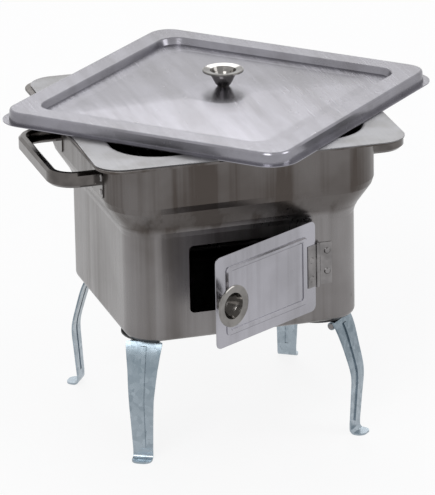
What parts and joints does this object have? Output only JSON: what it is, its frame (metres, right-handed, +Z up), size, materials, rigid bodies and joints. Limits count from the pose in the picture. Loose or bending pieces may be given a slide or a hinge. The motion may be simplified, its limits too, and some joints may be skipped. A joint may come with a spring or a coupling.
{
  "type": "folding charcoal grill",
  "caption": "Square sheet-steel charcoal grill with hinged ash door, lift-off lid and fire pan, side handles and fold-in legs.",
  "frame": {"origin": "on the floor under the middle of the whole grill, lid and door as in the picture; the body's own middle line is 18.3 mm towards -X and 15.3 mm towards -Y of it", "axes": "+Z up, -Y towards the door side, +X to the right seen from the door side"},
  "size_m": [0.4944, 0.5239, 0.3849],
  "materials": {
    "body_steel": "brushed",
    "pan_steel": "satin",
    "grate_steel": "dark enamel",
    "lid_steel": "satin",
    "knob_steel": "polished",
    "rivet_steel": "satin",
    "door_steel": "satin",
    "handle_steel": "satin",
    "hinge_steel": "satin",
    "leg_galvanised": "zinc coated",
    "mount_black": "matte"
  },
  "bodies": {
    "body": {"body_shell": "body_steel", "handle_left": "handle_steel", "handle_right": "handle_steel", "hinge_body_leaf": "hinge_steel", "hinge_pin": "hinge_steel", "handle_rivets_left": "rivet_steel", "handle_rivets_right": "rivet_steel", "handle_plate_left_front": "handle_steel", "handle_plate_right_front": "handle_steel", "handle_plate_left_back": "handle_steel", "handle_plate_right_back": "handle_steel", "hinge_body_rivet_1": "rivet_steel", "hinge_body_rivet_2": "rivet_steel", "leg_mount_front_left": "mount_black", "leg_bracket_front_left": "leg_galvanised", "leg_pin_front_left": "hinge_steel", "leg_rivets_front_left": "rivet_steel", "leg_mount_front_right": "mount_black", "leg_bracket_front_right": "leg_galvanised", "leg_pin_front_right": "hinge_steel", "leg_rivets_front_right": "rivet_steel", "leg_mount_back_left": "mount_black", "leg_bracket_back_left": "leg_galvanised", "leg_pin_back_left": "hinge_steel", "leg_rivets_back_left": "rivet_steel", "leg_mount_back_right": "mount_black", "leg_bracket_back_right": "leg_galvanised", "leg_pin_back_right": "hinge_steel", "leg_rivets_back_right": "rivet_steel"},
    "fire_pan": {"fire_pan": "pan_steel"},
    "grate": {"cooking_grate": "grate_steel"},
    "lid": {"lid_pan": "lid_steel", "lid_knob": "knob_steel", "lid_knob_rivet": "rivet_steel"},
    "door": {"door_panel": "door_steel", "door_knob": "knob_steel", "door_knob_rivet": "rivet_steel", "hinge_door_leaf": "hinge_steel", "hinge_door_rivet_1": "rivet_steel", "hinge_door_rivet_2": "rivet_steel"},
    "leg_front_left": {"leg_front_left": "leg_galvanised"},
    "leg_front_right": {"leg_front_right": "leg_galvanised"},
    "leg_back_left": {"leg_back_left": "leg_galvanised"},
    "leg_back_right": {"leg_back_right": "leg_galvanised"}
  },
  "joints": [
    {"name": "fire_pan_lift", "type": "slide", "parent": "body", "child": "fire_pan", "axis": [0, 0, 1], "range_m": [0, 0.15]},
    {"name": "grate_lift", "type": "slide", "parent": "fire_pan", "child": "grate", "axis": [0, 0, 1], "range_m": [0, 0.12]},
    {"name": "lid_lift", "type": "slide", "parent": "grate", "child": "lid", "axis": [0, 0, 1], "range_m": [0, 0.2]},
    {"name": "door_hinge", "type": "hinge", "parent": "body", "child": "door", "pos_m": [0.0617, -0.15132, 0.2], "axis": [0, 0, 1], "range_deg": [-31, 80]},
    {"name": "leg_fold_front_left", "type": "hinge", "parent": "body", "child": "leg_front_left", "pos_m": [-0.1303, -0.123, 0.1279], "axis": [0.866, -0.5, 0], "range_deg": [0, 90]},
    {"name": "leg_fold_front_right", "type": "hinge", "parent": "body", "child": "leg_front_right", "pos_m": [0.09256, -0.12618, 0.1279], "axis": [0.7071, 0.7071, 0], "range_deg": [0, 90]},
    {"name": "leg_fold_back_left", "type": "hinge", "parent": "body", "child": "leg_back_left", "pos_m": [-0.12653, 0.09878, 0.1279], "axis": [-0.5446, -0.8387, 0], "range_deg": [0, 90]},
    {"name": "leg_fold_back_right", "type": "hinge", "parent": "body", "child": "leg_back_right", "pos_m": [0.09552, 0.09309, 0.1279], "axis": [-0.829, 0.5592, 0], "range_deg": [0, 90]}
  ]
}
